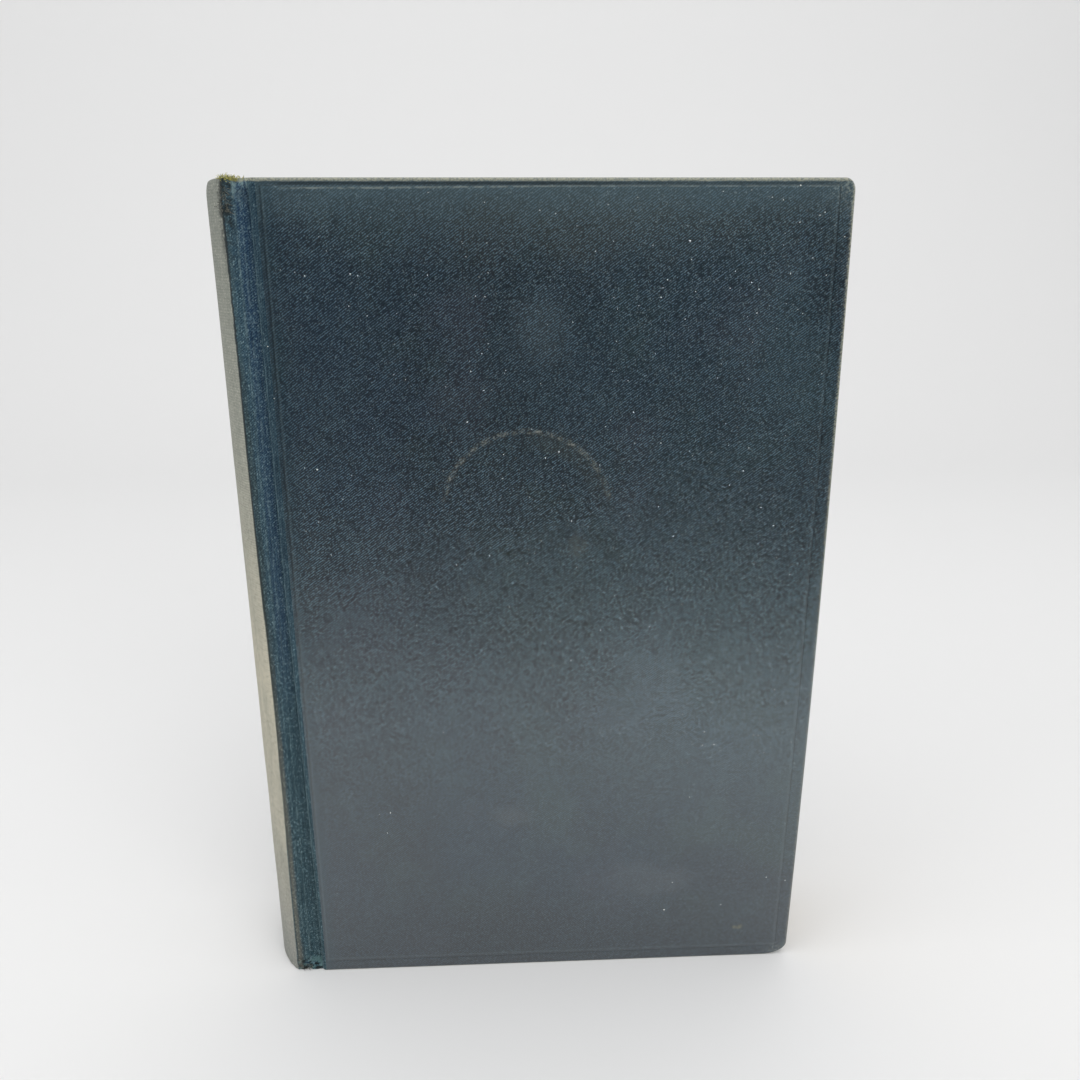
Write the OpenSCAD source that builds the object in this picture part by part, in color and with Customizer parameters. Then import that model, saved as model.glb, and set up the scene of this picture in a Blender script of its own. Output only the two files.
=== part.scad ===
// Hardback book: sewn pages with a rounded back, glued into a cloth-covered case.
// The book stands on its tail. The front cover faces -Y, the spine faces -X and the head is at the top.
// Shapes are drawn for the rear cover at +Y, and the front cover's are the same shapes mirrored.

/* [Pages] */
// Height of the trimmed pages
pages_h = 190.6; // [120:0.2:280]
// Width of a leaf, from the shoulder to the fore-edge
pages_w = 126; // [80:0.5:200]
// Thickness of the block of pages
pages_t = 23.6; // [16:0.2:40]
// How far the back bulges past its shoulders
spine_round = 6.2; // [4:0.1:7.5]
// Width of the slope under each shoulder
shoulder_w = 2.2; // [1.6:0.1:2.4]
// Folded sections of leaves that make up the pages
sections = 15; // [8:1:24]
// Depth of the dip between two sections at the back
section_dip = 0.4; // [0.1:0.05:0.6]

/* [Case] */
// Overhang of the covers past the pages
square = 3.2; // [2:0.1:5]
// Thickness of a cover board
board_t = 2.4; // [2:0.1:3.2]
// Thickness of the book cloth
cloth_t = 0.3; // [0.2:0.05:0.4]
// Distance from the shoulder to the back edge of a cover
joint_w = 4.6; // [4.4:0.1:8]
// Width of the pressed groove's flat floor beside that edge
groove_w = 1.6; // [1.5:0.1:2.4]
// Distance from that edge to the line where the cover turns
hinge_back = 1; // [0.6:0.1:1.4]
// Width of cloth turned in over the boards
turn_in = 15; // [8:0.5:22]
// Thickness of the card strip inside the spine
inlay_t = 0.7; // [0.4:0.1:1]
// Distance from the ridge to the edge of that strip
inlay_inset = 1.6; // [1.2:0.1:3]
// Space of the hollow back, between the card strip and the lining
hollow = 0.5; // [0.45:0.05:0.8]

/* [Wear and rounding] */
// Bumped radius of the upper fore-edge corners
corner_head = 1.5; // [1:0.1:5]
// Bumped radius of the lower fore-edge corners
corner_tail = 3.4; // [1:0.1:5]
// Rounding of the cover's outer edges
edge_round = 0.8; // [0.5:0.05:1]
// Rounding of the cover's inner edges
edge_inner = 0.5; // [0.4:0.05:0.7]
// Rounding of the ridge beside each joint
ridge_round = 0.8; // [0.6:0.05:1.2]
// How far the ridge lies below the face of the cover
ridge_drop = 0.2; // [0.1:0.05:0.4]
// Height of the worn slope at the head of the spine
head_wear_h = 3.4; // [1:0.1:6]
// Depth of that worn slope
head_wear_d = 1.2; // [0.4:0.1:1.6]

/* [Blind rule] */
// Width of the line pressed into the front cover
rule_w = 0.5; // [0.3:0.05:1]
// Depth of that line
rule_depth = 0.12; // [0.05:0.01:0.15]
// Distance from the line to the back edge of the cover
rule_back = 2.6; // [1.5:0.1:8]
// Distance from the line to the fore-edge of the cover
rule_fore = 2.4; // [1.5:0.1:8]
// Distance from the line to the head of the cover
rule_head = 1.8; // [1.5:0.1:8]
// Distance from the line to the tail of the cover
rule_tail = 3; // [1.5:0.1:8]

/* [Endpapers and linings] */
// Thickness of an endpaper leaf
leaf_t = 0.2; // [0.1:0.05:0.3]
// Space between the free endpaper and the pasted one
cover_gap = 0.3; // [0.3:0.05:0.6]
// How far the pasted endpaper stops short of the pages' fore-edge
paste_short = 0.5; // [0:0.1:2]
// Thickness of the gauze that ties the pages to the covers
gauze_t = 0.15; // [0.1:0.05:0.15]
// Width of gauze glued to each board
gauze_reach = 25; // [12:1:40]
// Distance from the turned-in cloth to the end of the gauze
gauze_clear = 1; // [0.5:0.5:10]
// Thickness of the paper lining on the back
lining_t = 0.3; // [0.2:0.05:0.4]
// Radius of the bead of the head and tail bands
bead_r = 0.8; // [0.5:0.05:1]
// Length of each band's cloth down the back
band_tail = 8; // [4:0.5:11]

/* [Hidden] */

// Film of glue left between curved layers
glue = 0.05;
// How far a cutting shape runs past what it cuts
past = 2;
// Segments in a rounded corner, in the spine's half arc and in each section's hump
corner_steps = 6;
arc_steps = 20;
hump_steps = 6;
// Segments in the cloth's slope into the joint, and in the slope under a shoulder
joint_steps = 10;
shoulder_steps = 5;

// Levels of the layers, measured from the middle of the pages
leaf_y = pages_t / 2;
paste_y = leaf_y + leaf_t + cover_gap;
turn_y = paste_y + leaf_t;
board_y = turn_y + cloth_t;
board_top_y = board_y + board_t;
case_y = board_top_y + cloth_t;

// Heights
case_h = pages_h + 2 * square;
pages_top = square + pages_h;
gauze_z = turn_in + gauze_clear;
gauze_h = case_h - 2 * gauze_z;
// The cloth folds over the end of the card strip, which is why the strip is shorter than the case
inlay_short = 1.8;

// The back of the pages is an arc through both shoulders, and every layer around it is concentric
shoulder_h = board_t - ridge_drop;
back_half = leaf_y + shoulder_h;
back_r = (back_half * back_half + spine_round * spine_round) / (2 * spine_round);
back_cx = back_r - spine_round;
back_a = asin(back_half / back_r);
gauze_r = back_r + glue + gauze_t / 2;
lining_r = gauze_r + gauze_t / 2 + glue + lining_t / 2;
inlay_r = lining_r + lining_t / 2 + hollow + inlay_t / 2;
cloth_r = inlay_r + inlay_t / 2 + glue + cloth_t / 2;
crest_x = back_cx - cloth_r - cloth_t / 2;
lining_a = 0.9 * back_a;
band_a = 0.8 * back_a;

// The ridge is where the cloth leaves the spine's arc and turns towards the joint
ridge_y = case_y - ridge_drop - cloth_t / 2;
ridge_a = asin((ridge_y - ridge_round) / (cloth_r - ridge_round));
ridge_cx = back_cx - (cloth_r - ridge_round) * cos(ridge_a);
ridge_cy = ridge_y - ridge_round;
inlay_a = asin((ridge_y - inlay_inset) / inlay_r);
// Turns along the arc: the play at each edge of the card strip, and the cloth's step over that edge
play_a = 0.15;
step_a = 2.5;

// Places along the cover, from the shoulder towards the fore-edge
fore_x = pages_w + square;
hinge_x = joint_w - hinge_back;
groove_x = joint_w - groove_w;
board_x = joint_w + cloth_t;
window_x = fore_x - turn_in;
flap_x = hinge_x + gauze_reach;
// The fold of the free endpaper lies at the foot of the shoulder
fold_r = (paste_y + leaf_t / 2 - leaf_y - leaf_t / 2) / 2;
fold_x = shoulder_w + glue + leaf_t / 2 + fold_r;

// The book's middle is half way between the crest of the spine and the fore-edge
middle_x = (crest_x + fore_x) / 2;

cloth_colour = [0.20, 0.28, 0.33];
spine_colour = [0.56, 0.57, 0.52];
paper_colour = [0.89, 0.84, 0.72];
endpaper_colour = [0.87, 0.81, 0.69];
board_colour = [0.55, 0.49, 0.40];
gauze_colour = [0.86, 0.84, 0.78];
band_colour = [0.80, 0.72, 0.55];

function unit(v) = v / norm(v);
function reversed(p) = [for (i = [len(p) - 1:-1:0]) p[i]];
function flipped(p) = [for (q = reversed(p)) [q[0], -q[1]]];
function smooth(t) = t * t * (3 - 2 * t);

// Points of an arc about a centre, from angle a0 to a1
function arc(cx, cy, r, a0, a1, n) = [
    for (i = [0:n]) let (a = a0 + (a1 - a0) * i / n) [cx + r * cos(a), cy + r * sin(a)]
];

// Points of the spine's arc of radius r, where angle 0 is the crest and 90 faces the rear cover
function back_arc(r, a0, a1, n) = [
    for (i = [0:n]) let (a = a0 + (a1 - a0) * i / n) [back_cx - r * cos(a), r * sin(a)]
];

// The line that lies at distance d to the left of a path
function beside(p, d) = [
    for (i = [0:len(p) - 1])
        let (
            before = unit(p[max(i, 1)] - p[max(i, 1) - 1]),
            after = unit(p[min(i, len(p) - 2) + 1] - p[min(i, len(p) - 2)]),
            along = unit(before + after)
        )
        p[i] + [-along[1], along[0]] * d / max(0.5, along * before)
];

// Outline of a sheet of thickness t whose middle follows a path
function sheet(p, t) = concat(beside(p, t / 2), reversed(beside(p, -t / 2)));

// Outline of a rectangle whose corners have the radii low-left, low-right, high-right and high-left
function rounded(x0, x1, y0, y1, r) = concat(
    corner(x0 + r[0], y0 + r[0], r[0], 180),
    corner(x1 - r[1], y0 + r[1], r[1], 270),
    corner(x1 - r[2], y1 - r[2], r[2], 0),
    corner(x0 + r[3], y1 - r[3], r[3], 90)
);
function corner(cx, cy, r, a) = r > 0 ? arc(cx, cy, r, a, a + 90, corner_steps) : [[cx, cy]];

// The cloth from the crest of the spine over the ridge and down into the joint, as far as the hinge
function cloth_path() = concat(
    back_arc(cloth_r, 0, ridge_a, arc_steps),
    [
        for (i = [1:corner_steps])
            let (a = ridge_a + (90 - ridge_a) * i / corner_steps)
            [ridge_cx - ridge_round * cos(a), ridge_cy + ridge_round * sin(a)]
    ],
    [
        for (i = [1:joint_steps])
            [
                ridge_cx + (groove_x - ridge_cx) * i / joint_steps,
                ridge_y + (board_y + cloth_t / 2 - ridge_y) * smooth(i / joint_steps)
            ]
    ],
    [[hinge_x, board_y + cloth_t / 2]]
);

// The same line on both sides, from the front hinge round the spine to the rear hinge
function both_sides(p) = concat(flipped([for (i = [1:len(p) - 1]) p[i]]), p);

// Inner face of the turned-in cloth, which runs under the card strip and steps over its edge
function turned_path() = concat(
    back_arc(inlay_r - inlay_t / 2 - glue - cloth_t, 0, inlay_a + 2 * play_a, arc_steps),
    [
        for (q = beside(cloth_path(), -1.5 * cloth_t))
            if (atan2(q[1], back_cx - q[0]) > inlay_a + step_a) q
    ]
);

// Section of the cloth where it is single, and where it is turned in at head and tail
function single_section() = sheet(both_sides(cloth_path()), cloth_t);
function turned_section() = concat(
    both_sides(beside(cloth_path(), cloth_t / 2)),
    reversed(both_sides(turned_path()))
);

module centred() {
    translate([-middle_x, 0, 0])
        children();
}

// Draws a rear shape as it is, or mirrored to the front
module side(front) {
    centred()
        mirror([0, front ? 1 : 0, 0])
            children();
}

// A straight block between two corners
module block(x0, x1, y0, y1, z0, z1) {
    translate([x0, y0, z0])
        cube([x1 - x0, y1 - y0, z1 - z0]);
}

// A layer of outline p between two heights
module layer(p, z0, z1) {
    translate([0, 0, z0])
        linear_extrude(z1 - z0)
            polygon(p);
}

// A board shape with bumped corners and rounded edges: three outlines seen from above, front and side
module slab(x0, x1, y0, y1, z0, z1, less) {
    outer = edge_round - less;
    inner = edge_inner - less;
    head = corner_head - less;
    tail = corner_tail - less;
    back = edge_round - less;
    intersection() {
        layer(rounded(x0, x1, y0, y1, [0, inner, outer, outer]), z0, z1);
        translate([0, y1, 0])
            rotate([90, 0, 0])
                linear_extrude(y1 - y0)
                    polygon(rounded(x0, x1, z0, z1, [back, tail, head, back]));
        translate([x0, 0, 0])
            rotate([90, 0, 90])
                linear_extrude(x1 - x0)
                    polygon(rounded(y0, y1, z0, z1, [inner, outer, outer, inner]));
    }
}

// Half of the back's scalloped arc: each section of folded leaves makes one hump
function back_points() = [
    for (i = [0:sections * hump_steps])
        let (
            u = i / (sections * hump_steps),
            a = back_a * (2 * u - 1),
            r = back_r - section_dip * (1 - abs(sin(180 * sections * u)))
        )
        [back_cx - r * cos(a), r * sin(a)]
];

// The slope from a shoulder down to the face of the pages
function shoulder_points() = [
    for (i = [1:shoulder_steps])
        let (t = i / shoulder_steps)
        [shoulder_w * t, leaf_y + shoulder_h * (1 - t) * (1 - t)]
];

// The hollow fore-edge: the back's arc moved across by the width of the leaves
function fore_points() =
    let (a = asin(leaf_y / back_r), edge_x = back_r * cos(a))
    [
        for (i = [0:arc_steps])
            let (b = a - 2 * a * i / arc_steps)
            [pages_w + edge_x - back_r * cos(b), back_r * sin(b)]
    ];

module text_block() {
    shoulder = shoulder_points();
    color(paper_colour)
        centred()
            layer(concat(back_points(), shoulder, fore_points(), flipped(shoulder)), square, pages_top);
}

// Gauze on the back, over both shoulders and under the cloth of the joints as far as the hinges
module spine_gauze() {
    under_cloth = beside(cloth_path(), -(cloth_t + gauze_t) / 2 - glue);
    path = concat(
        back_arc(gauze_r, 0, back_a, arc_steps),
        [for (q = under_cloth) if (q[0] > shoulder_w / 2) q]
    );
    color(gauze_colour)
        centred()
            layer(sheet(both_sides(path), gauze_t), gauze_z, gauze_z + gauze_h);
}

module spine_lining() {
    color(endpaper_colour)
        centred()
            layer(sheet(back_arc(lining_r, -lining_a, lining_a, 2 * arc_steps), lining_t), square, pages_top);
}

// A band at the head of the pages: a bead along the edge of the back, on a strip of cloth glued to it
module band() {
    translate([back_cx, 0, pages_top])
        rotate([0, 0, 180 - band_a])
            rotate_extrude(angle = 2 * band_a, $fn = 240) {
                translate([gauze_r - gauze_t / 2, -band_tail])
                    square([gauze_t, band_tail + bead_r]);
                translate([gauze_r - bead_r, bead_r + glue / 2])
                    circle(bead_r, $fn = 24);
            }
}

module head_band() {
    color(band_colour)
        centred()
            band();
}

module tail_band() {
    color(band_colour)
        centred()
            translate([0, 0, case_h])
                mirror([0, 0, 1])
                    band();
}

// A free endpaper and its fold at the shoulder, which turns back under the cover as far as the hinge
module free_endpaper(front) {
    path = concat(
        [[pages_w, leaf_y + leaf_t / 2]],
        [
            for (i = [0:corner_steps])
                let (a = 270 - 180 * i / corner_steps)
                [fold_x + fold_r * cos(a), leaf_y + leaf_t / 2 + fold_r + fold_r * sin(a)]
        ],
        [[hinge_x, paste_y + leaf_t / 2]]
    );
    color(endpaper_colour)
        side(front)
            layer(sheet(path, leaf_t), square, pages_top);
}

module front_free_endpaper() { free_endpaper(true); }
module rear_free_endpaper() { free_endpaper(false); }

module spine_inlay() {
    strip = back_arc(inlay_r, -inlay_a, inlay_a, 2 * arc_steps);
    color(board_colour)
        centred()
            layer(sheet(strip, inlay_t), inlay_short, case_h - inlay_short);
}

// The worn head of the spine, seen from the side: the crest slopes away over the last millimetres
module worn_profile() {
    far = crest_x - past;
    near = hinge_x + past;
    wear = [
        for (i = [0:corner_steps])
            let (a = 90 * i / corner_steps)
            [crest_x + head_wear_d * (1 - cos(a)), case_h - head_wear_h * (1 - sin(a))]
    ];
    outline = concat([[near, -past], [far, -past], [far, case_h - head_wear_h]], wear, [[near, case_h]]);
    translate([0, case_y + past, 0])
        rotate([90, 0, 0])
            linear_extrude(2 * (case_y + past))
                polygon(outline);
}

// The case's cloth over the spine, with its ridges, the root half of both joints and its turned-in ends
module spine_cloth() {
    pocket = sheet(back_arc(inlay_r, -inlay_a - play_a, inlay_a + play_a, 2 * arc_steps), inlay_t + 2 * glue);
    color(spine_colour)
        centred()
            intersection() {
                difference() {
                    union() {
                        layer(turned_section(), 0, turn_in);
                        layer(single_section(), turn_in, case_h - turn_in);
                        layer(turned_section(), case_h - turn_in, case_h);
                    }
                    layer(pocket, inlay_short - glue, case_h - inlay_short + glue);
                }
                worn_profile();
            }
}

module board_shape() {
    slab(board_x, fore_x - cloth_t, board_y, board_top_y, cloth_t, case_h - cloth_t, cloth_t);
}

module front_board() {
    color(board_colour)
        side(true)
            board_shape();
}

module rear_board() {
    color(board_colour)
        side(false)
            board_shape();
}

// Cloth wrapped round a board, with its cover's half of the joint and its turned-in edges
module cover_cloth() {
    difference() {
        union() {
            slab(joint_w, fore_x, turn_y, case_y, 0, case_h, 0);
            block(hinge_x, board_x, board_y, board_y + cloth_t, 0, case_h);
            block(hinge_x, board_x, turn_y, board_y, 0, turn_in);
            block(hinge_x, board_x, turn_y, board_y, case_h - turn_in, case_h);
        }
        board_shape();
        block(hinge_x - past, window_x, turn_y - past, board_y, turn_in, case_h - turn_in);
    }
}

// Four pressed lines that frame the front cover
module blind_rule() {
    x0 = joint_w + rule_back;
    x1 = fore_x - rule_fore;
    z0 = rule_tail;
    z1 = case_h - rule_head;
    difference() {
        block(x0, x1, case_y - rule_depth, case_y + past, z0, z1);
        block(x0 + rule_w, x1 - rule_w, case_y - past, case_y + 2 * past, z0 + rule_w, z1 - rule_w);
    }
}

module front_cover_cloth() {
    color(cloth_colour)
        side(true)
            difference() {
                cover_cloth();
                blind_rule();
            }
}

module rear_cover_cloth() {
    color(cloth_colour)
        side(false)
            cover_cloth();
}

module flap_shape() {
    block(hinge_x, flap_x, board_y - gauze_t, board_y, gauze_z, gauze_z + gauze_h);
}

module front_gauze_flap() {
    color(gauze_colour)
        side(true)
            flap_shape();
}

module rear_gauze_flap() {
    color(gauze_colour)
        side(false)
            flap_shape();
}

// The pasted endpaper: it lies on the turned-in cloth, dips to the board inside it and rises over the gauze
module pastedown() {
    dip_z = turn_in + leaf_t;
    difference() {
        union() {
            block(hinge_x, pages_w - paste_short, paste_y, turn_y, square, pages_top);
            block(hinge_x, window_x, paste_y, board_y, turn_in, case_h - turn_in);
        }
        difference() {
            block(hinge_x - past, window_x - leaf_t, paste_y - past, board_y - leaf_t, dip_z, case_h - dip_z);
            block(
                hinge_x - 2 * past, flap_x + leaf_t, board_y - gauze_t - leaf_t, board_y,
                gauze_z - leaf_t, gauze_z + gauze_h + leaf_t
            );
        }
        flap_shape();
    }
}

module front_pastedown() {
    color(endpaper_colour)
        side(true)
            pastedown();
}

module rear_pastedown() {
    color(endpaper_colour)
        side(false)
            pastedown();
}

text_block();
spine_gauze();
spine_lining();
head_band();
tail_band();
front_free_endpaper();
rear_free_endpaper();
spine_inlay();
spine_cloth();
front_board();
front_cover_cloth();
front_gauze_flap();
front_pastedown();
rear_board();
rear_cover_cloth();
rear_gauze_flap();
rear_pastedown();
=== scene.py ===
import math
import bmesh
import bpy
import numpy as np
from mathutils import Matrix, Vector, noise


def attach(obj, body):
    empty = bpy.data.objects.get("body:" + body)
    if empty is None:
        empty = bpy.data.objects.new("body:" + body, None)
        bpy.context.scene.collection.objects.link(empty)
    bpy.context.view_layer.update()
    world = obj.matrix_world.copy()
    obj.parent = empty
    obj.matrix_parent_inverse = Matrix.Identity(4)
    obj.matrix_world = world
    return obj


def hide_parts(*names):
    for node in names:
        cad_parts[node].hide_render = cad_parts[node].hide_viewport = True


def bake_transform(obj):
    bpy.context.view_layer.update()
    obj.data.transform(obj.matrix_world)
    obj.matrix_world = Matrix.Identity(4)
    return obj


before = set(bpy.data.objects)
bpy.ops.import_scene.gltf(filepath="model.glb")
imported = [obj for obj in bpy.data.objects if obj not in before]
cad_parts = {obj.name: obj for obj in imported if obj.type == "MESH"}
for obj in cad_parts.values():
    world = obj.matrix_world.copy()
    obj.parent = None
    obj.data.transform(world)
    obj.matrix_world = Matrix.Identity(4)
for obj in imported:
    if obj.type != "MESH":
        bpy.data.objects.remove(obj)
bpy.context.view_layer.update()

# ---------------- sizes, in millimetres, as in the part's source
# x runs from the back to the fore-edge, y from the middle of the book towards its rear, z from the tail to the head
MID_X = 60.45  # where the part's own x starts
CASE_H, FORE_X = 197.0, 129.2
PAGES_W, PAGES_H, PAGES_Y = 126.0, 190.6, 11.8
SQUARE = 3.2
PAGES_TOP = SQUARE + PAGES_H
# the round of the pages' back, and of the gauze and the cloth over it
BACK_R, BACK_CX, BACK_HALF = 18.9065, 12.7065, 14.0
BACK_A = math.asin(BACK_HALF / BACK_R)
GAUZE_R, CLOTH_OUT = 19.03, 21.0065
# the ridge: where it leaves the round, its centre, its outer radius and its top
RIDGE_A, RIDGE_C, RIDGE_R, RIDGE_Y = math.radians(45.68), (-1.3046, 14.35), 0.95, 15.3
# how far from the middle the cover's face, the turned-in cloth, the pasted endpaper and the free leaf lie
FACE_Y, TURN_Y, PASTE_Y, LEAF_Y = 15.5, 12.5, 12.3, 12.0
# the joint: where the board's back edge rises, and where the groove's floor starts and lies
JOINT_X, GROOVE_X, GROOVE_Y = 4.6, 3.0, 13.1
# the worn back edge of each board, where the cloth rolls out of the joint: how far it runs along the face, and down
ROLL_X, ROLL_Y = 1.1, 1.3
FACE_X = JOINT_X + ROLL_X
TURN_IN = 15.0
# the two bumped corners at the fore-edge: how far each runs along the board and up it
HEAD_CORNER, TAIL_CORNER = (2.2, 2.6), (6.6, 3.8)
# how far the face stops short of the outline, where the cloth rounds the board's edge
EDGE = 0.5
# the blind rule pressed into the front cover: beside the joint and the fore-edge, above the tail, below the head
RULE_L, RULE_R, RULE_LOW, RULE_TOP = 6.05, 125.9, 3.1, 195.35
RULE_STEPS = [-0.3, -0.17, -0.07, 0.07, 0.17, 0.3]
RULE_DEPTH = 0.07
# the front board has crept towards the spine, most of all from this height up, and bowed at its fore-edge
CREEP, CREEP_Z = 1.1, 130.0
BOW = 1.1
# each board: where it starts, its two faces, and how far it stays inside the case's outline
BOARD_X, BOARD_OUT, BOARD_IN, BOARD_EDGE = 5.1, 15.15, 12.86, 0.35
# the joints flex between these two lines at the foot of each shoulder, and no vertex lies between them
FLEX = (2.3, 2.55)


def smooth(t):
    t = np.clip(t, 0, 1)
    return t * t * (3 - 2 * t)


def wobble(p, scale, seed=0.0):
    """Smooth noise from -1 to 1 at points p (millimetres), with features about scale across."""
    at = [(a / scale + seed, b / scale - seed, c / scale + 2 * seed) for a, b, c in p]
    return np.array([noise.noise(Vector(v)) for v in at])


# ---------------- meshes
class Shape:
    """Vertices, faces, a UV per face corner and a material per face, gathered into one mesh."""

    def __init__(self):
        self.v, self.uv, self.f, self.m = [], [], [], []
        self.n = 0

    def add(self, pts, uv, faces, mat=0):
        self.v.append(np.asarray(pts, float).reshape(-1, 3))
        self.uv.append(np.asarray(uv, float).reshape(-1, 2))
        self.f += [tuple(i + self.n for i in f) for f in faces]
        self.m += [mat] * len(faces) if np.ndim(mat) == 0 else np.asarray(mat).ravel().tolist()
        self.n += len(self.v[-1])

    def grid(self, pts, uv, mat=0, flip=False, keep=None):
        """pts and uv are arrays of shape (rows, columns, 3 or 2)."""
        r, c = pts.shape[:2]
        i = np.arange(r * c).reshape(r, c)
        q = np.stack([i[:-1, :-1], i[:-1, 1:], i[1:, 1:], i[1:, :-1]], -1)
        if keep is not None:
            q = q[keep]
        q = q.reshape(-1, 4)
        if flip:
            q = q[:, ::-1]
        self.add(pts, uv, q.tolist(), mat)

    def build(self, name, mats, auto=40):
        me = bpy.data.meshes.new(name)
        v = np.concatenate(self.v)
        uv = np.concatenate(self.uv)
        me.from_pydata((v / 1000).tolist(), [], self.f)
        layer = me.uv_layers.new(name="sheet")
        loops = np.zeros(len(me.loops), np.int32)
        me.loops.foreach_get("vertex_index", loops)
        layer.data.foreach_set("uv", uv[loops].astype(np.float32).ravel())
        me.polygons.foreach_set("material_index", np.array(self.m, np.int32))
        for m in mats:
            me.materials.append(m)
        ob = bpy.data.objects.new(name, me)
        bpy.context.scene.collection.objects.link(ob)
        bm = bmesh.new()
        bm.from_mesh(me)
        bmesh.ops.remove_doubles(bm, verts=bm.verts, dist=2e-6)
        bm.to_mesh(me)
        bm.free()
        me.polygons.foreach_set("use_smooth", np.ones(len(me.polygons), bool))
        me.set_sharp_from_angle(angle=math.radians(auto))
        me.update()
        return ob


def mirrored(shape):
    """The same shape on the front side of the book."""
    out = Shape()
    out.v = [p * np.array([1, -1, 1]) for p in shape.v]
    out.uv, out.m, out.n = shape.uv, list(shape.m), shape.n
    out.f = [tuple(reversed(f)) for f in shape.f]
    return out


def beside_flex(x, side):
    """Keeps x out of the strip between the flex lines, on the side where the value in side lies."""
    return np.where(side < 0.5 * (FLEX[0] + FLEX[1]), np.minimum(x, FLEX[0] - 0.01), np.maximum(x, FLEX[1] + 0.01))


def warp_front(p):
    """The front board has bowed out a little at the middle of its fore-edge."""
    q = p.copy()
    x = np.clip((p[:, 0] + MID_X - JOINT_X) / (FORE_X - JOINT_X), 0, 1)
    z = (p[:, 2] - 0.5 * CASE_H) / (0.5 * CASE_H)
    bow = BOW * x ** 2 * (1 - z ** 2)
    q[:, 1] -= bow
    q[:, 0] += 0.35 * bow * x
    return q


def placed(shape, front, bowed=True):
    """A shape of the rear side, or for the front its mirror image, bowed with the board."""
    if front:
        shape = mirrored(shape)
        if bowed:
            shape.v = [warp_front(p) for p in shape.v]
    return shape


def outline(nr, nc, closed=False):
    """Rows and columns of a grid's points along its tail, fore-edge and head, and down its back if it is closed."""
    idx = [(0, c) for c in range(nc)] + [(r, nc - 1) for r in range(1, nr)]
    idx += [(nr - 1, c) for c in range(nc - 2, -1, -1)]
    if closed:
        idx += [(r, 0) for r in range(nr - 2, -1, -1)]
    return np.array(idx).T


def along(path):
    """The distance along a path at each of its points, and its direction there."""
    way = np.gradient(path, axis=0)
    return np.concatenate([[0], np.cumsum(norm(np.diff(path, axis=0)))]), way / norm(way)[:, None]


def norm(a):
    return np.linalg.norm(a, axis=1)


def upright(line, zs):
    """A line of (x, y) points repeated at each height."""
    return np.array([[[a - MID_X, b, z] for a, b in line] for z in zs])


def pairs(a, b):
    """The UV of a grid, from what is counted across it and what is counted up it."""
    return np.stack(np.broadcast_arrays(a, b), -1)


# ---------------- materials
class V:
    """A socket of the tree being built, with arithmetic."""
    tree = None

    def __init__(self, s):
        self.s = s

    def __add__(self, o): return op("ADD", self, o)
    def __radd__(self, o): return op("ADD", o, self)
    def __sub__(self, o): return op("SUBTRACT", self, o)
    def __rsub__(self, o): return op("SUBTRACT", o, self)
    def __mul__(self, o): return op("MULTIPLY", self, o)
    def __rmul__(self, o): return op("MULTIPLY", o, self)
    def __truediv__(self, o): return op("DIVIDE", self, o)
    def __neg__(self): return op("MULTIPLY", self, -1)
    def __abs__(self): return op("ABSOLUTE", self)


def put(sock, value):
    if isinstance(value, V):
        V.tree.links.new(value.s, sock)
    elif isinstance(value, (tuple, list)) and sock.type == "RGBA":
        sock.default_value = (*value[:3], 1)
    else:
        sock.default_value = value


def nd(kind, props=None, **inputs):
    """A node, with inputs given by name or, as i0, i1 and so on, by number; its first output is handed back."""
    n = V.tree.nodes.new("ShaderNode" + kind)
    for k, v in (props or {}).items():
        setattr(n, k, v)
    for k, v in inputs.items():
        put(n.inputs[int(k[1:]) if k[1:].isdigit() else k], v)
    return V(n.outputs[0])


def op(kind, a, b=None):
    args = {"i0": a} if b is None else {"i0": a, "i1": b}
    return nd("Math", props={"operation": kind}, **args)


def least(a, b): return op("MINIMUM", a, b)
def most(a, b): return op("MAXIMUM", a, b)
def step(x, lo, hi): return nd("MapRange", props={"interpolation_type": "SMOOTHSTEP"}, i0=x, i1=lo, i2=hi)
def bump_line(x, at, half, soft): return 1 - step(abs(x - at), half, half + soft)
def vec(x, y, z=0): return nd("CombineXYZ", X=x, Y=y, Z=z)


def ramp(x, stops):
    """A colour that runs through stops of (position, colour) as x goes from the first position to the last."""
    lo, hi = stops[0][0], stops[-1][0]
    node = V.tree.nodes.new("ShaderNodeValToRGB")
    elements = node.color_ramp.elements
    elements[0].position, elements[1].position = 0, 1
    elements[0].color, elements[1].color = (*srgb(*stops[0][1]), 1), (*srgb(*stops[-1][1]), 1)
    for at, colour in stops[1:-1]:
        elements.new((at - lo) / (hi - lo)).color = (*srgb(*colour), 1)
    put(node.inputs[0], (x - lo) / (hi - lo))
    return V(node.outputs[0])


def grain(v, scale, detail=2, rough=0.5):
    return nd("TexNoise", Vector=v, Scale=scale, Detail=detail, Roughness=rough)


def srgb(r, g, b):
    """A colour given as it looks on screen, 0 to 255."""
    return tuple((c / 255 / 12.92) if c / 255 <= 0.04045 else ((c / 255 + 0.055) / 1.055) ** 2.4 for c in (r, g, b))


def mix(f, a, b):
    """Two colours blended: each is a socket, or a tuple as it looks on screen."""
    n = V.tree.nodes.new("ShaderNodeMix")
    n.data_type = "RGBA"
    n.clamp_factor = True
    for i, value in ((0, f), (6, a), (7, b)):
        put(n.inputs[i], srgb(*value) if isinstance(value, tuple) else value)
    return V(n.outputs[2])


def material(name, make, *args):
    m = bpy.data.materials.new(name)
    m.use_nodes = True
    V.tree = m.node_tree
    V.tree.nodes.clear()
    make(*args)
    return m


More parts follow.
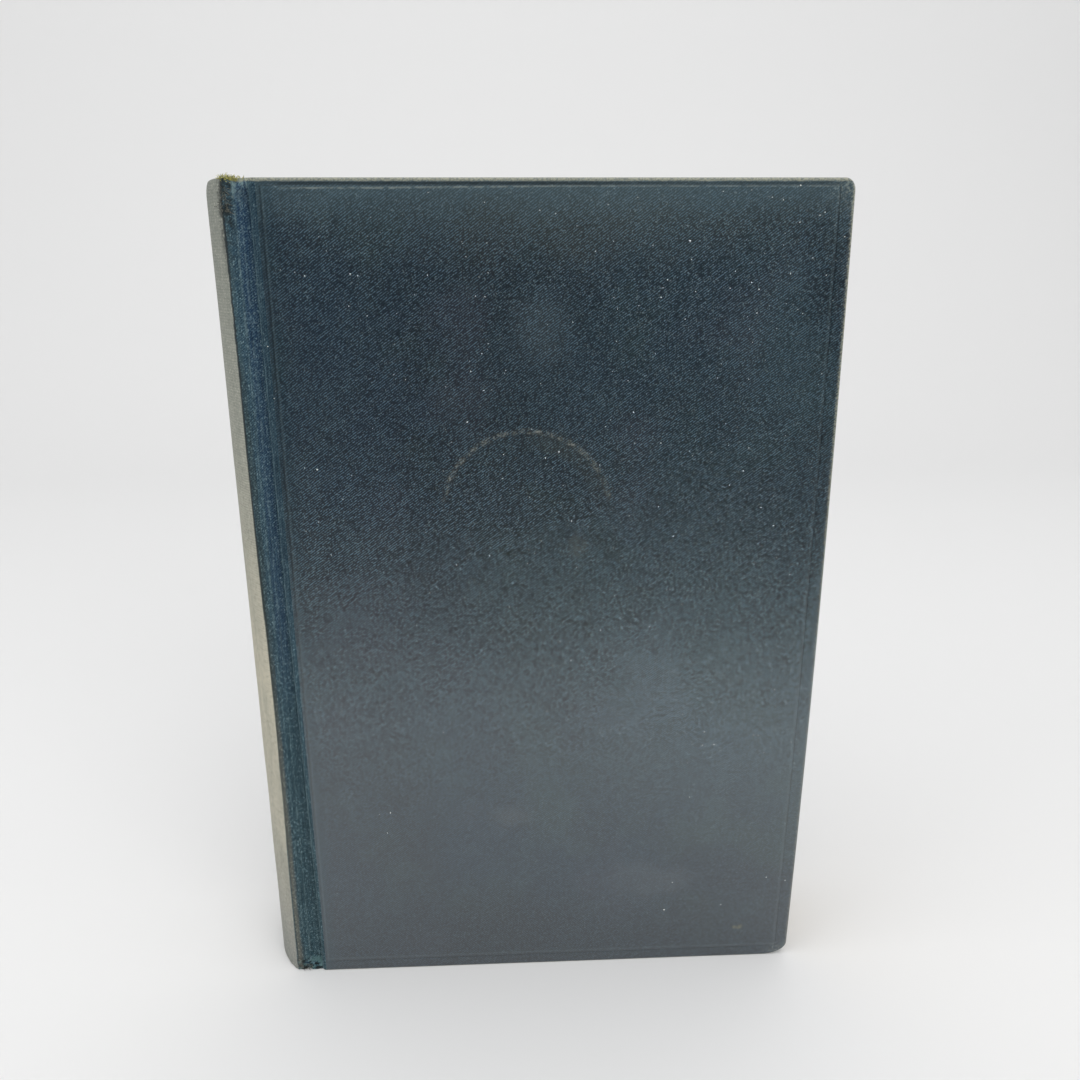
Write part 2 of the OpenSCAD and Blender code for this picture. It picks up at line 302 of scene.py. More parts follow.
def surface(color, rough, spec, height, distance, strength=1, ior=1.5):
    """Ends the tree being built with its shader and a bump as deep as distance, in metres."""
    out, bsdf, b = (V.tree.nodes.new("ShaderNode" + kind) for kind in ("OutputMaterial", "BsdfPrincipled", "Bump"))
    for name, value in (("Base Color", color), ("Roughness", rough), ("Specular IOR Level", spec), ("IOR", ior)):
        put(bsdf.inputs[name], value)
    for name, value in (("Height", height), ("Distance", distance), ("Strength", strength)):
        put(b.inputs[name], value)
    put(bsdf.inputs["Normal"], V(b.outputs[0]))
    put(out.inputs[0], V(bsdf.outputs[0]))


def sheet_mm():
    """The flat sheet's own coordinates in millimetres: across it, and up it."""
    uv = nd("UVMap", props={"uv_map": "sheet"})
    sep = V.tree.nodes.new("ShaderNodeSeparateXYZ")
    V.tree.links.new(uv.s, sep.inputs[0])
    return V(sep.outputs[0]), V(sep.outputs[1])


def object_mm():
    """The part's own coordinates in millimetres, for pieces that don't bend."""
    tc = V.tree.nodes.new("ShaderNodeTexCoord")
    sep = V.tree.nodes.new("ShaderNodeSeparateXYZ")
    V.tree.links.new(tc.outputs["Object"], sep.inputs[0])
    return tuple(V(sep.outputs[i]) * 1000 for i in range(3))


def weave(u, v):
    """Book cloth: fine diagonal ribs, 0.479 mm apart, that rise to the right, broken up by uneven threads."""
    drift = grain(vec(u, v), 0.35, 3) * 2.4 + grain(vec(u, v), 1.4, 2) * (1.6 + step(u, 50, 120) * 1.4)
    rib = op("SINE", (v * 1.68 - u * 1.24) * (2 * math.pi) + drift)
    along = vec(u * 0.9 + v * 0.65, v * 1.45 - u * 1.07)
    thread = grain(along, 1.1, 2, 0.5)
    lump = grain(vec(u, v, 31), 2.4, 1, 0.5)
    return rib * (0.65 + thread * 0.9) + (thread - 0.5) * 1.2 + (lump - 0.5) * 3.6


def face_colour(front, u, v, w, mid, fine, crumb, ragged):
    """The cover: dark blue, with clouds where the surface has rubbed, and lower down a lighter band, partly rubbed
    and partly painted sheen.
    """
    big = grain(vec(u, v, 0 if front else 40), 0.022, 3, 0.55)
    hue = grain(vec(u, v, 9), 0.032, 2)
    col = mix(step(big, 0.35, 0.65), (16, 42, 57), (7, 29, 42))
    col = mix(step(mid, 0.5, 0.72) * 0.35, col, (46, 68, 73))
    col = mix(step(hue, 0.54, 0.7) * 0.5, col, (52, 58, 72))
    col = mix(step(1 - hue, 0.54, 0.7) * 0.5, col, (38, 62, 62))
    col = mix(step(v + (mid - 0.5) * 20, 176, 198) * 0.5, col, (70, 88, 94))
    # a lighter band low on the cover, partly rubbed cloth and partly painted sheen
    worn = step(u, FACE_S + 30, FACE_S + 110) * step(v, 30, 70) * (1 - step(v, 95, 130))
    col = mix(worn * 0.35, col, (80, 102, 106))
    col = mix((1 - step(v + (mid - 0.5) * 30, 6, 34)) * 0.7, col, (4, 22, 32))
    if front:
        for cx, cz, rx, rz, tone, strength in CLOUDS:
            ax, az = (u - FACE_S + FACE_X - cx) / rx, (v - cz) / rz
            near = 1 - step(op("SQRT", ax * ax + az * az) + (mid - 0.5) * 2.6, 0.1, 1.25)
            col = mix(near * strength, col, tone)
    # the weave shows clearly on the upper part of the cover, and towards the tail its contrast is faded as painted
    # sheen
    clear = (0.32 + step(v, 30, 90) * 0.68) * (1 - step(v, 110, 160) * 0.3)
    # painted shade in the gaps between the ribs of the weave
    col = mix(step(-w, -0.5, 0.6) * clear * 0.97, col, (0, 6, 12))
    # in the same low band the light threads are paler and the pale specks more: partly rubbed cloth, partly painted
    # sheen
    low = (1 - step(v, 95, 135)) * step(v, 50, 85)
    # the ribs' light threads, partly their own colour and partly painted light
    col = mix(step(w, 0.45, 1.35) * clear * 0.95, col, mix(low, (94, 124, 140), (102, 132, 144)))
    col = mix(step(v + (mid - 0.5) * 6, 186, 196.5) * 0.4, col, (72, 96, 104))
    col = mix(step(crumb + step(u, 50, 120) * 0.02 + low * 0.015, 0.62, 0.7) * clear * 0.7, col, (130, 150, 154))
    col = mix(step(fine, 0.46, 0.64) * (1 - step(v, 60, 110)) * 0.12, col, (72, 92, 100))
    col = mix((1 - step(u, FACE_S, FACE_S + 4.5)) * (0.3 + 0.2 * (1 - step(v, 40, 90))), col, (8, 48, 60))
    corner = step(u - FORE_S, -7, 0.2) * most(step(v, CASE_H - 9, CASE_H - 0.5), 1 - step(v, 0.5, 5.5))
    col = mix(corner * step(crumb, 0.46, 0.6) * 0.75, col, (126, 134, 126))
    return front_marks(col, u, v, mid, fine, ragged) if front else col


def front_marks(col, u, v, mid, fine, ragged):
    """The blind rule with painted shade in its groove and painted highlights on its lips, the ring left by a cup and
    two old smudges.
    """
    x, z = u - FACE_S + FACE_X, v
    in_x = step(x, RULE_L - 0.3, RULE_L) * step(RULE_R - x, -0.3, 0)
    in_z = step(z, RULE_LOW - 0.3, RULE_LOW) * step(RULE_TOP - z, -0.3, 0)
    side = least(abs(x - RULE_L), abs(RULE_R - x)) + (1 - in_z) * 9
    foot = abs(z - RULE_LOW) + (1 - in_x) * 9
    # painted shade along the groove of the blind rule
    line = bump_line(least(side, foot), 0, 0.08, 0.18) * (0.25 + step(mid, 0.4, 0.6) * 0.35)
    line = line * (1 - (1 - step(z, 20, 60)) * step(z, RULE_LOW + 1, RULE_LOW + 2) * 0.7)
    col = mix(line * step(z, RULE_LOW - 0.3, RULE_LOW), col, (12, 26, 34))
    # a painted highlight along the inner lip of the rule
    rule_lip_highlight = bump_line(least(abs(x - RULE_L - 0.45), abs(RULE_R - 0.5 - x)), 0, 0.1, 0.2) * in_z
    rule_lip_highlight = most(rule_lip_highlight, bump_line(z, RULE_LOW + 0.7, 0.1, 0.25) * in_x)
    col = mix(rule_lip_highlight * 0.22 * ragged, col, (110, 130, 134))
    # at the head, painted shade just above the rule and a painted highlight along its lower edge
    strip = bump_line(z, RULE_TOP + 0.5, 0.22, 0.18) * step(x, 6, 12) * step(FORE_X - x, 2, 4)
    col = mix(strip * (0.6 - step(x, 60, 100) * 0.3), col, (16, 28, 36))
    rule_top_highlight = bump_line(z + (ragged - 0.5) * 0.3, RULE_TOP - (1 - step(x, 20, 80)) * 0.4, 0.1, 0.18)
    rule_top_highlight = rule_top_highlight * step(x, 8, 14) * step(FORE_X - x, 2.5, 6)
    col = mix(rule_top_highlight * (1 - step(x, 30, 90) * 0.5) * step(ragged, 0.38, 0.56) * 0.45, col, (142, 150, 142))
    # the ring: an arc of scuffed threads, with a faint smear inside its right half
    dx, dz = u - RING[0], v - RING[1]
    far = op("SQRT", dx * dx + dz * dz) + (fine - 0.5) * 0.6
    arc = step(dz, 2.5, 5) * step(ragged, 0.4, 0.62)
    scuff = step(grain(vec(u, v, 61), 2, 2, 0.6), 0.47, 0.6)
    smear = bump_line(far, RING[2] - 1.6, 1.2, 2.2) * step(dz, 0, 8) * step(dx, -4, 6)
    col = mix(smear * 0.22 * step(mid, 0.3, 0.6), col, (62, 66, 56))
    col = mix(bump_line(far, RING[2] - 0.6, 0.15, 0.4) * arc * 0.4, col, (20, 26, 28))
    col = mix(bump_line(far, RING[2], 0.25, 0.6) * arc * (0.14 + scuff * 0.6), col, (142, 146, 136))
    for sx, sz, rx, rz, tone, strength in SMUDGES:
        ax, az = (x - sx) / rx, (z - sz) / rz
        spot = 1 - step(op("SQRT", ax * ax + az * az) + (fine - 0.5) * 1.4, 0.5, 1.1)
        col = mix(spot * strength * step(ragged, 0.36, 0.56), col, tone)
    return col


def back_colour(front, u, n, v, w, fine, crumb, ragged):
    """The joint, which is unfaded teal with long worn threads that run up it, and the faded spine."""
    creep = step(v, 0, CREEP_Z) * (-CREEP if front else 0)
    e, t = u - creep, u - RIDGE_S
    streak = grain(vec(n * 3.2, v * 0.1, 2), 1, 4, 0.65)
    fleck = step(grain(vec(n * 1.5, v * 0.8, 71), 1.9, 3, 0.7), 0.54, 0.7)
    high = step(v, 50, 110)
    col = mix(step(v, 20, 150), (26, 56, 66), (32, 62, 80))
    col = mix(step(v, 70, 100) * bump_line(t, 3.6, 0.8, 0.9) * 0.5, col, (16, 48, 88))
    col = mix(step(v, 150, 178) * bump_line(t, 3.6, 1, 0.8) * 0.5, col, (24, 56, 90))
    col = mix(step(streak, 0.48, 0.68) * 0.45, col, (78, 106, 114))
    col = mix(step(0.5 - streak, 0.02, 0.14) * 0.45, col, (14, 34, 40))
    # the ribs' light threads, partly their own colour and partly painted light
    col = mix(step(w, 0.2, 1.4) * 0.35, col, (88, 116, 124))
    # painted shade in the gaps between the ribs of the weave
    col = mix(step(-w, 0.1, 1.2) * 0.5, col, (8, 24, 32))
    col = mix(fleck * step(streak, 0.36, 0.56) * 0.8, col, (138, 162, 166))
    col = mix(step(crumb, 0.58, 0.68) * 0.5, col, (124, 154, 164))
    for at, width, strength in ((1.9, 0.04, 0.32), (3.2, 0.03, 0.3)):
        line = bump_line(t + (streak - 0.5) * 1.2, at, width, 0.3)
        col = mix(line * step(ragged, 0.38, 0.62) * strength, col, (126, 148, 152))
    col = mix(bump_line(e, BOARD_S - 0.2, 0.3, 0.5) * 0.5, col, (8, 26, 36))
    # worn pale threads along the back edge of the board
    edge_b = bump_line(e + (streak - 0.5) * 0.5, BOARD_S + 0.75, 0.05, 0.25)
    col = mix(edge_b * step(ragged, 0.4, 0.64) * (0.8 - step(v, 40, 80) * 0.3), col, (126, 152, 158))
    col = mix(step(e, BOARD_S + 0.95, BOARD_S + 1.5) * step(v, 90, 120) * 0.45, col, (12, 34, 46))
    # a dark worn band just past the ridge, wider and paler towards the tail
    worn_band = step(t, -0.25, 0) * (1 - step(t + (streak - 0.5) * 1.6 + step(v, 140, 170) * 0.6, 0.4, 1.5))
    bcol = mix(high, (86, 88, 82), mix(step(v, 150, 165), (34, 48, 50), (52, 74, 80)))
    pale = most(fleck, step(crumb, 0.55, 0.66)) * (0.75 + (1 - step(v, 15, 40)) * 0.2)
    bcol = mix(pale, bcol, mix(high, (134, 132, 118), (98, 116, 114)))
    col = mix(worn_band * (0.85 - high * 0.2), col, bcol)
    # the spine: lightest a little below its middle, with fine threads across it
    limit = step(v, 15, 60) * 0.33 - step(v, 88, 130) * 0.63 - step(v, 176, 190) * 0.15 - 0.2
    torn = (streak - 0.5) * 0.5 + (ragged - 0.5) * step(v, 140, 185) * 1.6
    spine = 1 - step(t - limit + torn, -0.45, -0.05)
    thin = grain(vec(n * 0.5, v, 44), 0.9, 3, 0.65)
    faded = ramp(v, SPINE_TONES)
    faded = mix(step(grain(vec(n * 0.7, v * 0.16, 5), 0.5, 4, 0.6), 0.4, 0.7) * 0.3, faded, (114, 120, 112))
    faded = mix(step(fine, 0.46, 0.66) * 0.28, faded, (100, 104, 98))
    faded = mix(step(crumb, 0.5, 0.7) * 0.35, faded, (202, 199, 184))
    across = op("SINE", (v + (thin - 0.5) * 0.5) * (2 * math.pi / 0.62)) + (thin - 0.5) * 3
    faded = mix(step(across, 0.1, 1.2) * 0.25, faded, (86, 90, 84))
    faded = mix(step(thin, 0.52, 0.62) * 0.25 * (1 - step(t, -13, -7)), faded, (207, 205, 190))
    col = mix(spine, col, faded)
    ridge = bump_line(t - limit + torn, 0, 0.1, 0.35)
    col = mix(ridge * (0.35 + 0.5 * step(v, 60, 120)), col, (38, 44, 42))
    # frayed threads at the head of the joint, dirt in the folds at the head, and painted shade and painted highlights
    # on the crumpled folds at the tail
    frayed = step(v, CASE_H - 6, CASE_H - 1) * bump_line(t, 3.6, 1.6, 1.4) * step(ragged, 0.4, 0.6)
    col = mix(frayed * 0.7, col, (116, 140, 142))
    dirt = step(v, CASE_H - 24, CASE_H - 5) * bump_line(t + (ragged - 0.5) * 1.6, -0.3, 1, 1.4)
    dirt = dirt * step(grain(vec(n, v, 23), 0.8, 4), 0.34, 0.58)
    # on the crumpled cloth at the tail: painted highlights on the folds and painted shade in the creases
    fold_shading = grain(vec(n * 0.6 + v * 0.5, v * 1.1 - n * 0.5, 24), 0.85, 3)
    low = (1 - step(v, 1.4, 5.4)) * bump_line(t, 3.6, 3.6, 1.2)
    col = mix(dirt * 0.8, col, (30, 36, 36))
    col = mix(low * step(fold_shading, 0.52, 0.6) * 0.6, col, (92, 122, 120))
    col = mix(low * step(1 - fold_shading, 0.52, 0.6) * 0.9, col, (4, 10, 10))
    return col, 0.66 + (fine - 0.5) * 0.15 + spine * 0.1


def cloth_outside(front, cover):
    """Worn book cloth: the polished cover and the matt back are two materials that share one weave."""
    u, v = sheet_mm()
    # the cloth is one sheet, so its pattern counts on across the crest of the spine instead of turning back there
    n = u if front else -u
    w = weave(n, v)
    fine = grain(vec(n, v), 0.9, 4, 0.65)
    crumb = grain(vec(n, v, 51), 2.6, 2, 0.6)
    ragged = grain(vec(n, v, 13), 0.7, 4, 0.7)
    if cover:
        mid = grain(vec(n, v, 0 if front else 40), 0.09, 4, 0.6)
        col, rough = face_colour(front, u, v, w, mid, fine, crumb, ragged), 0.36 + (fine - 0.5) * 0.15
    else:
        col, rough = back_colour(front, u, n, v, w, fine, crumb, ragged)
    # pale threads along the outer edges
    pile = grain(vec(n, v, 17), 2, 3, 0.6)
    head = step(v + (ragged - 0.5) * 0.4, CASE_H - 0.9, CASE_H - 0.5)
    tail = 1 - step(v + (ragged - 0.5) * 0.3, 0.05, 0.3)
    fore = step(u + (pile - 0.5) * 1.6, FORE_S - 0.45, FORE_S + 0.3) * (0.35 + step(v, 70, 150) * 0.55)
    rim = most(most(head, tail) * step(u - RIDGE_S, 0.5, 3), fore)
    past = most(most(step(v, CASE_H + 0.4, CASE_H + 1.2), step(-v, 0.4, 1.2)), step(u, FORE_S + 0.8, FORE_S + 1.5))
    rim = rim * (1 - past * 0.75)
    col = mix(rim * (0.35 + step(pile, 0.4, 0.58) * 0.5), col, (158, 158, 138))
    spec, ior = (1, 1.62) if cover else (0.4, 1.5)
    surface(col, rough, spec, fine, 0.00003, ior=ior)


def cloth_inside():
    u, v = sheet_mm()
    w = weave(u, v)
    fine = grain(vec(u, v, 4), 0.9, 4, 0.65)
    col = mix(step(grain(vec(u, v, 2), 0.05, 3), 0.35, 0.65), (38, 66, 84), (30, 54, 72))
    # painted shade in the gaps between the ribs of the weave
    col = mix(step(-w, 0.1, 1.1) * 0.5, col, (16, 32, 42))
    col = mix(step(fine, 0.55, 0.75) * 0.3, col, (84, 108, 118))
    surface(col, 0.62 + (fine - 0.5) * 0.2, 0.4, w * 0.5, 0.00008, 0.8)


def fibre(one, other):
    u, v = sheet_mm()
    col = mix(step(grain(vec(u, v), 0.9, 2), 0.35, 0.65), one, other)
    surface(col, 0.9, 0.1, grain(vec(u, v), 5, 2), 0.00003)


def paper(tone):
    u, v = sheet_mm()
    p = vec(u, v, tone)
    cloud = grain(p, 0.02, 4, 0.6)
    spot = bump_line(nd("TexVoronoi", Vector=vec(u, v, 5 + tone), Scale=0.16), 0, 0.05, 0.14)
    fleck = spot * step(grain(p, 0.05, 3), 0.5, 0.62)
    fib = grain(vec(u * 2, v * 0.6, tone), 1.6, 4, 0.7)
    col = mix(step(cloud, 0.35, 0.7), (226, 211, 178), (214, 195, 156))
    col = mix(step(fib, 0.52, 0.75) * 0.25, col, (190, 168, 126))
    col = mix(fleck * 0.5, col, (162, 118, 70))
    # toned towards the edges of the leaf and along the gutter
    rim = least(least(v - SQUARE, CASE_H - SQUARE - v), PAGES_W - u) + (cloud - 0.5) * 9
    col = mix((1 - step(rim, 0, 16)) * 0.55, col, (184, 152, 104))
    col = mix((1 - step(u + (cloud - 0.5) * 4, 2.5, 11)) * 0.45, col, (170, 138, 94))
    surface(col, 0.85, 0.25, fib * 0.6 + cloud, 0.00004, 0.6)


def leaf_edges(kind):
    """The cut edges of the leaves: u counts leaves, v runs along them in millimetres."""
    u, v = sheet_mm()
    line = grain(vec(u * 0.9, v * 0.012, kind), 1, 3, 0.7)
    gather = grain(vec(u * 0.06, v * 0.004, kind + 3), 1, 2, 0.5)
    cloud = grain(vec(u * 0.03, v * 0.03, kind + 6), 1, 4, 0.6)
    col = mix(step(gather, 0.35, 0.65), (216, 198, 160), (198, 176, 134))
    col = mix(step(line, 0.5, 0.72) * 0.75, col, (142, 116, 78))
    dust = 0.55 if kind == 1 else 0.2
    col = mix(step(cloud, 0.4, 0.75) * dust, col, (132, 116, 92))
    gap = bump_line(op("FRACT", u / 16 + 0.5), 0.5, 0.012, 0.03)
    col = mix(gap * 0.7, col, (92, 74, 48))
    surface(col, 0.9, 0.2, line + (1 - gap) * 0.8, 0.00012, 0.9)


def plain_fibres(base, dark, scale, stretch):
    x, y, z = object_mm()
    p = vec(x * stretch[0], y * stretch[1], z * stretch[2])
    a, b = grain(p, scale, 4, 0.65), grain(p, scale * 0.08, 3, 0.5)
    col = mix(step(a, 0.42, 0.68), base, dark)
    col = mix(step(b, 0.45, 0.7) * 0.35, col, tuple(int(c * 0.72) for c in dark))
    surface(col, 0.88, 0.2, a, 0.00008)


def gauze_make():
    u, v = sheet_mm()
    net = most(op("SINE", u * (2 * math.pi / 0.9)), op("SINE", v * (2 * math.pi / 0.9)))
    col = mix(step(net, 0.2, 0.9), (150, 138, 112), (216, 208, 184))
    surface(col, 0.9, 0.1, net, 0.0001)


def band_make():
    """Head and tail bands: cloth with stitches of two faded threads over the bead."""
    x, y, _ = object_mm()
    turn = op("ARCTAN2", y, (x + MID_X - BACK_CX) * -1) * 20
    stitch = op("SINE", turn * (2 * math.pi / 1))
    pair = step(op("SINE", turn * (2 * math.pi / 4)), -0.1, 0.1)
    col = mix(pair, (204, 188, 148), (126, 60, 48))
    col = mix(step(-stitch, 0.3, 1) * 0.6, col, (84, 66, 48))
    surface(col, 0.7, 0.3, stitch, 0.0002)


# ---------------- the case's cloth
def columns():
    """The case's section from the crest of the spine to the fore-edge: its outer and inner line, the distance along
    it, and which points end the ridge and start the face."""
    out = []
    for a in np.linspace(0, RIDGE_A, 26):
        out.append((BACK_CX - CLOTH_OUT * math.cos(a), CLOTH_OUT * math.sin(a)))
    for a in np.linspace(RIDGE_A, math.pi / 2, 9)[1:]:
        out.append((RIDGE_C[0] - RIDGE_R * math.cos(a), RIDGE_C[1] + RIDGE_R * math.sin(a)))
    ridge_i = len(out) - 1
    # past the flex lines the cloth starts only at the groove's floor, so that it stays behind the endpaper when
    # the cover is open
    for x in (-0.95, -0.6, -0.25, 0.1, 0.45, 0.8, 1.15, 1.5, 1.85, 2.1, FLEX[0] - 0.02, GROOVE_X):
        t = (x - RIDGE_C[0]) / (GROOVE_X - RIDGE_C[0])
        out.append((x, RIDGE_Y + (GROOVE_Y - RIDGE_Y) * float(smooth(t))))
    floor_i = len(out) - 1
    out += [(x, GROOVE_Y) for x in (3.35, 3.7, 4.0)]
    bend = 0.3
    for a in np.linspace(0, math.pi / 2, 4):
        out.append((JOINT_X - bend + bend * math.sin(a), GROOVE_Y + bend - bend * math.cos(a)))
    out.append((JOINT_X, 13.8))
    for a in np.linspace(0, math.pi / 2, 9):
        out.append((JOINT_X + ROLL_X * (1 - math.cos(a)), FACE_Y - ROLL_Y * (1 - math.sin(a))))
    face_i = len(out) - 1
    xs = [RULE_L + d for d in RULE_STEPS[1:]] + [6.8, 7.4, 8.2, *np.linspace(9.2, 124.4, 94), 125.1]
    xs += [RULE_R + d for d in RULE_STEPS] + [126.7, 127.3, 127.9, 128.3, FORE_X - EDGE]
    out += [(x, FACE_Y) for x in xs]
    out = np.array(out)
    s, tangent = along(out)
    inward = np.stack([tangent[:, 1], -tangent[:, 0]], 1)
    a = np.arctan2(out[:, 1], BACK_CX - out[:, 0])
    over = np.arange(len(out)) > ridge_i
    # two layers of cloth, and between them, on the round of the spine, the card strip
    thick = np.where(over, 0.6, 0.6 + 0.8 * (1 - smooth((a - math.radians(40.6)) / math.radians(2.5))))
    inner = out + inward * thick[:, None]
    # the inner line runs straight under the wall that the outer one climbs
    inner[floor_i + 1:face_i + 1, 0] = 3.0 + (5.4 - 3.0) * np.arange(1, face_i - floor_i + 1) / (face_i - floor_i)
    inner[floor_i + 1:face_i + 1, 1] = TURN_Y
    inner[face_i + 1:] = np.stack([out[face_i + 1:, 0], np.full(len(out) - face_i - 1, TURN_Y)], 1)
    inner[~over & (a < 0.001)] = (BACK_CX - CLOTH_OUT + 1.4, 0)
    inner[:, 0] = beside_flex(inner[:, 0], out[:, 0])
    return out, inner, s, ridge_i, face_i


def rows():
    z = [EDGE, 0.9, 1.4, 1.9, 2.4] + [RULE_LOW + d for d in RULE_STEPS] + [3.9, 4.5, 5.2]
    z += list(np.linspace(6.0, 191.6, 150))
    z += [192.4, 193.1, 193.8, 194.4] + [RULE_TOP + d for d in RULE_STEPS] + [196.0, CASE_H - EDGE]
    return np.array(z)


OUT, INN, S, RIDGE_I, FACE_I = columns()
RIDGE_S, FACE_S, FORE_S = float(S[RIDGE_I]), float(S[FACE_I]), float(S[-1])
BOARD_S = float(S[FACE_I - 8])
ROWS = rows()
# the material slots of the cloth and of the pages
FACE_MAT, IN_MAT, FIBRE_MAT, FRAY_MAT, LINT_MAT, BACK_MAT = range(6)
FORE_MAT, HEAD_MAT, TAIL_MAT, PAGE_MAT = range(4)
# the ring left by a cup: its centre on the sheet and its radius
RING = (FACE_S - FACE_X + 59.74, 125.3, 19.05)


def creep(z):
    return -CREEP * smooth(z / CREEP_Z)


def bump(d, half, soft):
    return 1 - smooth((np.abs(d) - half) / soft)


def round_corner(x, z, inset):
    """Moves points near the two fore-edge corners so that the outline turns on the bumped corners."""
    x, z = x.copy(), z.copy()
    for (rx, rz), top in ((HEAD_CORNER, True), (TAIL_CORNER, False)):
        a = (x - (FORE_X - rx)) / (rx - inset)
        b = ((z - (CASE_H - rz)) if top else (rz - z)) / (rz - inset)
        hit = (a > 0) & (b > 0)
        a, b = np.clip(a, 0, 1), np.clip(b, 0, 1)
        na, nb = a * np.sqrt(1 - b ** 2 / 2) * (rx - inset), b * np.sqrt(1 - a ** 2 / 2) * (rz - inset)
        x = np.where(hit, FORE_X - rx + na, x)
        z = np.where(hit, (CASE_H - rz + nb) if top else (rz - nb), z)
    return x, z


def half_case(front):
    """The cloth from the crest of the spine over one joint and one board, with its turned-in edges."""
    sh = Shape()
    nr, nc = len(ROWS), len(OUT)
    x, z = np.meshgrid(OUT[:, 0], ROWS)
    # the joint isn't pressed in at its two ends, where the cloth is turned over and crumpled
    ends = np.maximum(1 - smooth((ROWS - 0.9) / 3.6), smooth((ROWS - (CASE_H - 4.0)) / 3.2))
    sunk = np.clip(14.9 - OUT[:, 1], 0, 9) * smooth(OUT[:, 0] + 1.6) * (OUT[:, 1] > 8)
    lift = ends[:, None] * sunk[None, :]
    y, u = OUT[:, 1] + lift, S
    if front:
        xr = OUT[:, 0]
        deep_c = (bump(xr - RULE_L, 0.09, 0.12) + bump(xr - RULE_R, 0.09, 0.12)) * (xr > 5.7)
        deep_r = bump(ROWS - RULE_LOW, 0.09, 0.12) + bump(ROWS - RULE_TOP, 0.09, 0.12)
        in_c = (xr > RULE_L - 0.2) & (xr < RULE_R + 0.2)
        in_r = (ROWS > RULE_LOW - 0.2) & (ROWS < RULE_TOP + 0.2)
        y = y - np.maximum(deep_c[None, :] * in_r[:, None], deep_r[:, None] * in_c[None, :]) * RULE_DEPTH
        dx = creep(z) * np.interp(xr, [3.0, 4.3, 5.55, 5.85], [0, 1, 0.95, 0])[None, :]
        x, u = x + dx, u + dx
    xw, zw = round_corner(x, z, EDGE)
    u = u + (xw - x)
    face = np.stack([xw, y, zw], -1)
    part = np.where(np.arange(nc) < FACE_I, BACK_MAT, FACE_MAT)
    sh.grid(face, np.stack([u, zw], -1), np.repeat(part[None, :-1], nr - 1, 0))
    # ring round tail, fore-edge and head
    rr, cc = outline(nr, nc)
    base = face[rr, cc]
    t = np.gradient(base[:, [0, 2]], axis=0)
    flat = cc >= FACE_I
    outw = np.stack([t[:, 1], -t[:, 0]], 1)
    outw /= norm(outw)[:, None] + 1e-9
    sign = np.where(rr == 0, -1.0, 1.0)
    near_end = (rr == 0) | (rr == nr - 1)
    straight = near_end & (OUT[cc, 0] < FORE_X - np.where(rr == 0, TAIL_CORNER[0], HEAD_CORNER[0]))
    outw = np.where((straight | ~flat)[:, None], np.stack([0 * sign, sign], 1), outw)
    side_mid = (cc == nc - 1) & (ROWS[rr] > TAIL_CORNER[1]) & (ROWS[rr] < CASE_H - HEAD_CORNER[1])
    outw = np.where(side_mid[:, None], np.array([[1.0, 0.0]]), outw)
    through = INN[cc] - OUT[cc]
    thick = norm(through)
    through = np.where(flat[:, None], np.array([[0.0, -1.0]]), through / thick[:, None])
    thick = np.where(flat, FACE_Y - TURN_Y, thick)
    # the edge's profile: how far out and how far down each ring lies
    r = np.minimum(EDGE, 0.45 * thick)
    prof = [(0 * r, 0 * r)]
    for a in np.linspace(0, math.pi / 2, 6):
        prof.append((EDGE - r + r * math.sin(a), r * (1 - math.cos(a))))
    prof.append((np.full_like(r, EDGE), thick / 2))
    for a in np.linspace(0, math.pi / 2, 5):
        prof.append((EDGE - r + r * math.cos(a), thick - r + r * math.sin(a)))
    rings, uvs, run = [], [], 0 * r
    for e, d in prof:
        pt = base.copy()
        pt[:, 0] += outw[:, 0] * e + through[:, 0] * d
        pt[:, 1] += through[:, 1] * d
        pt[:, 2] += outw[:, 1] * e
        if rings:
            run = run + norm(pt - rings[-1])
        rings.append(pt)
        uvs.append(np.stack([u[rr, cc] + outw[:, 0] * run, base[:, 2] + outw[:, 1] * run], 1))
    sh.grid(np.array(rings), np.array(uvs), np.repeat(part[np.minimum(cc[:-1], cc[1:])][None, :], len(prof) - 1, 0))
    # inner side, kept only where the cloth is turned in
    zi = ROWS.copy()
    zi[0], zi[-1] = EDGE, CASE_H - EDGE
    xi = INN[:, 0].copy()
    xi[-1] = FORE_X - EDGE
    gx, gz = round_corner(*np.meshgrid(xi, zi), EDGE)
    inner = np.stack([gx, INN[:, 1] + lift, gz], -1)
    inner[rr, cc] = rings[-1]
    cx, cz = (0.25 * (g[:-1, :-1] + g[1:, :-1] + g[:-1, 1:] + g[1:, 1:]) for g in (gx, gz))
    keep = (cz < TURN_IN) | (cz > CASE_H - TURN_IN) | (cx > FORE_X - TURN_IN)
    sh.grid(inner, np.stack([gx + 300, gz], -1), IN_MAT, flip=True, keep=keep)
    sh.v = [wear_case(np.concatenate(sh.v), front) - [MID_X, 0, 0]]
    return sh


